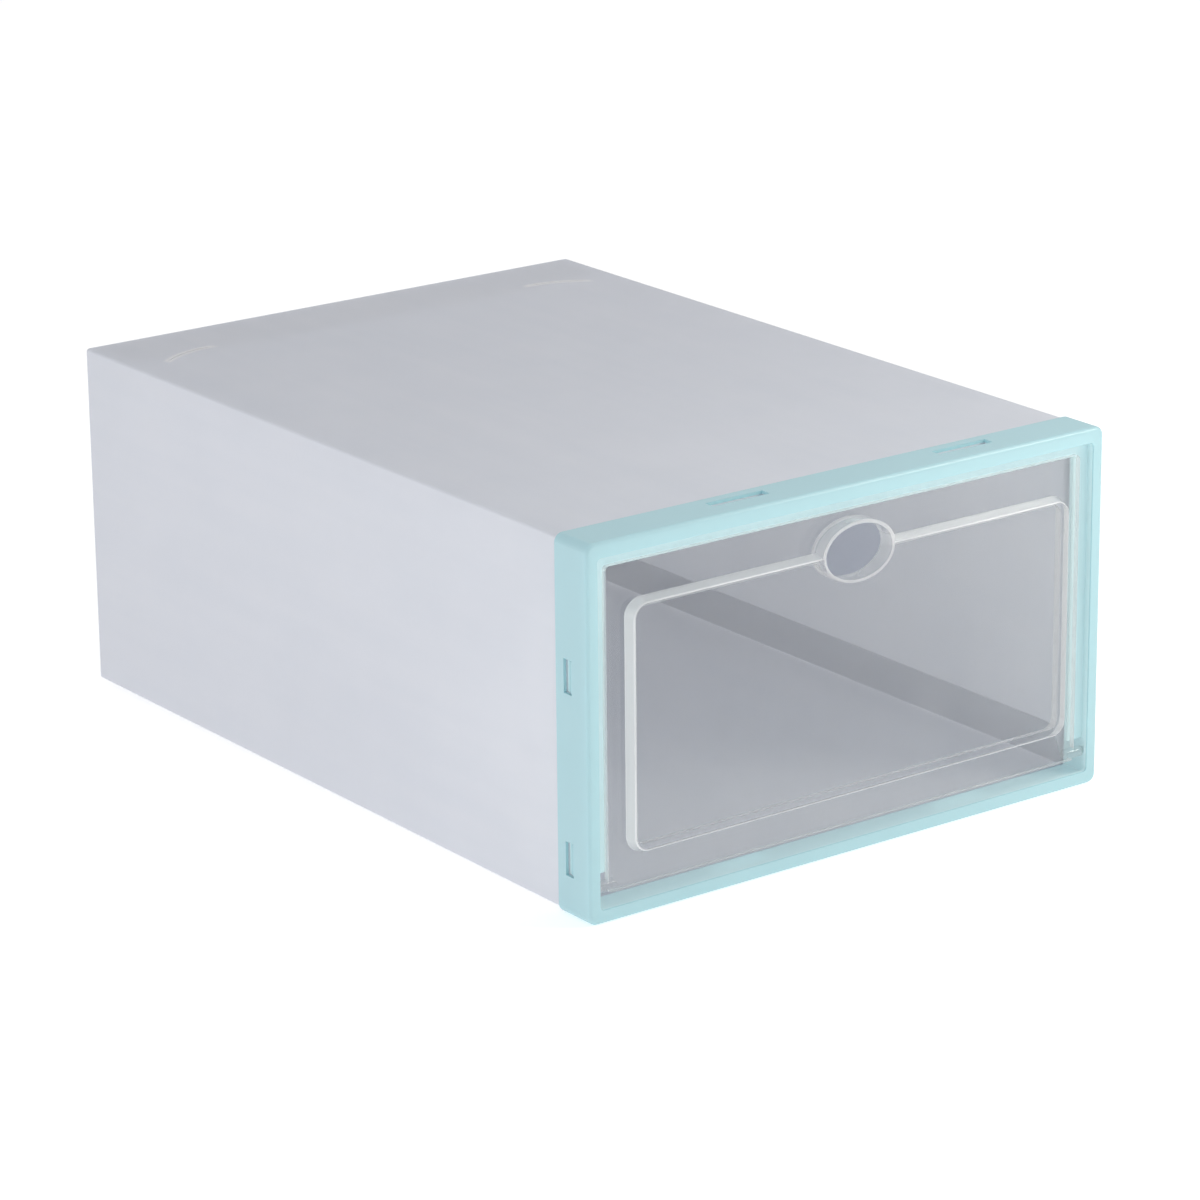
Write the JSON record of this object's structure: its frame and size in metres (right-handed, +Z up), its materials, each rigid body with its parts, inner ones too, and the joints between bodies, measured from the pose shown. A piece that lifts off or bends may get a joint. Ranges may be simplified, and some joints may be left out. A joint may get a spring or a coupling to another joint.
{
  "type": "shoe box",
  "caption": "Stackable shoe box: a folded translucent plastic sleeve with a clip-on front frame and a clear drop-down door with a finger hole.",
  "frame": {"origin": "under the middle of the whole box, on the surface that the front frame stands on", "axes": "+X to the right seen from the front, +Y from the door towards the back, +Z up"},
  "size_m": [0.2426, 0.3428, 0.1426],
  "materials": {
    "pp_sheet": "frosted",
    "frame_plastic": "satin",
    "clear_plastic": "polished"
  },
  "bodies": {
    "box": {"top_panel": "pp_sheet", "left_panel": "pp_sheet", "bottom_panel": "pp_sheet", "right_panel": "pp_sheet", "seam_flap": "pp_sheet", "front_frame": "frame_plastic"},
    "door": {"door": "clear_plastic"},
    "rear_panel": {"rear_panel": "pp_sheet"},
    "tuck_flap": {"tuck_flap": "pp_sheet"},
    "left_dust_flap": {"left_dust_flap": "pp_sheet"},
    "right_dust_flap": {"right_dust_flap": "pp_sheet"}
  },
  "joints": [
    {"name": "door_hinge", "type": "hinge", "parent": "box", "child": "door", "pos_m": [0, -0.16505, 0.0128], "axis": [1, 0, 0], "range_deg": [0, 92]},
    {"name": "rear_fold", "type": "hinge", "parent": "box", "child": "rear_panel", "pos_m": [0, 0.17105, 0.0016], "axis": [-1, 0, 0], "range_deg": [0, 90]},
    {"name": "tuck_fold", "type": "hinge", "parent": "rear_panel", "child": "tuck_flap", "pos_m": [0, 0.17105, 0.1395], "axis": [1, 0, 0], "range_deg": [0, 60]},
    {"name": "left_dust_fold", "type": "hinge", "parent": "box", "child": "left_dust_flap", "pos_m": [-0.1182, 0.17015, 0.0697], "axis": [0, 0, -1], "range_deg": [0, 90]},
    {"name": "right_dust_fold", "type": "hinge", "parent": "box", "child": "right_dust_flap", "pos_m": [0.1182, 0.17015, 0.0697], "axis": [0, 0, 1], "range_deg": [0, 90]}
  ],
  "couplings": [
    {"joint": "tuck_fold", "follows": "rear_fold", "ratio": 0.65}
  ]
}
